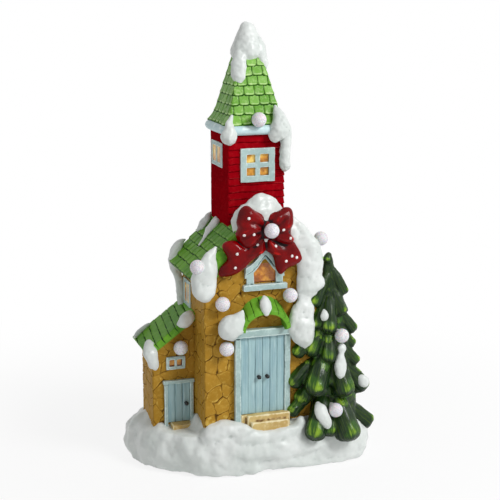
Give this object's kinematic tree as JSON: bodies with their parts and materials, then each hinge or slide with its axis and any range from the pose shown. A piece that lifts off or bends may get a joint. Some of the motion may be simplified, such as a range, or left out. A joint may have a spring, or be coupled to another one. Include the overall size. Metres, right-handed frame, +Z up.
{
  "type": "lighted christmas village house",
  "caption": "Snow-covered ceramic village chapel with a red tower, lean-to shed, fir tree, bow and frosted globe lamps, lit from a battery case.",
  "frame": {"origin": "centre of the footprint, on the surface that the house stands on", "axes": "+Z up, the entrance faces -Y, +X to the right of someone who faces the entrance"},
  "size_m": [0.2573, 0.1551, 0.457],
  "materials": {
    "snow_glaze": "matte, slightly chalky",
    "stone_paint": "satin, dark joints and dry-brushed highlights",
    "roof_green": "satin, dry-brushed",
    "steeple_green": "satin, pale dry-brushed shingles",
    "siding_red": "glossy deep red",
    "trim_blue": "satin pale blue",
    "door_blue": "satin, fine wood grain",
    "knob_black": "gloss",
    "step_tan": "satin",
    "pane_amber": "translucent amber",
    "bow_red": "high gloss red with white dots",
    "tree_green": "glossy dark green, light tips",
    "globe_frost": "frosted",
    "holder_white": "satin",
    "lamp_clear": "warm clear",
    "wire_green": "matte",
    "case_black": "fine moulded texture",
    "slider_grey": "satin",
    "cell_jacket": "plain printed jacket",
    "steel": "bright",
    "foot_rubber": "matte"
  },
  "bodies": {
    "house": {"snow_base": "snow_glaze", "base_plate": "case_black", "base_screws": "steel", "rubber_feet": "foot_rubber", "chapel_walls": "stone_paint", "chapel_roof": "roof_green", "shed_walls": "stone_paint", "shed_roof": "roof_green", "tower_walls": "siding_red", "tower_cornice": "trim_blue", "steeple_roof": "steeple_green", "steeple_snow_cap": "snow_glaze", "steeple_snow_drips": "snow_glaze", "gable_snow": "snow_glaze", "roof_snow": "snow_glaze", "shed_snow": "snow_glaze", "awning": "roof_green", "awning_snow": "snow_glaze", "entrance_frame": "trim_blue", "entrance_door_left": "door_blue", "entrance_door_right": "door_blue", "entrance_knobs": "knob_black", "entrance_steps": "step_tan", "shed_door_frame": "trim_blue", "shed_door": "door_blue", "shed_door_knob": "knob_black", "shed_doorstep": "step_tan", "tower_front_window_frame": "trim_blue", "tower_front_window_pane": "pane_amber", "tower_left_window_frame": "trim_blue", "tower_left_window_pane": "pane_amber", "gable_window_frame": "trim_blue", "gable_window_pane": "pane_amber", "side_window_frame": "trim_blue", "side_window_pane": "pane_amber", "shed_window_frame": "trim_blue", "shed_window_pane": "pane_amber", "bow": "bow_red", "christmas_tree": "tree_green", "tree_snow": "snow_glaze", "steeple_lamp": "globe_frost", "bow_lamp": "globe_frost", "ridge_lamp": "globe_frost", "eave_lamp": "globe_frost", "facade_left_lamp": "globe_frost", "facade_right_lamp": "globe_frost", "door_lamp": "globe_frost", "shed_lamp": "globe_frost", "tree_upper_lamp": "globe_frost", "tree_lower_lamp": "globe_frost", "lamp_holders": "holder_white", "window_lamps": "lamp_clear", "wiring_harness": "wire_green", "battery_case": "case_black", "battery_cells": "cell_jacket", "battery_contacts": "steel", "hinge_pin": "steel", "switch_body": "case_black"},
    "battery_door": {"battery_door": "case_black"},
    "switch_slider": {"switch_slider": "slider_grey"}
  },
  "joints": [
    {"name": "battery_door_hinge", "type": "hinge", "parent": "house", "child": "battery_door", "pos_m": [-0.0274, 0.0422, 0.1], "axis": [0, 0, 1], "range_deg": [0, 110]},
    {"name": "switch_slide", "type": "slide", "parent": "house", "child": "switch_slider", "axis": [1, 0, 0], "range_m": [0, 0.004]}
  ]
}
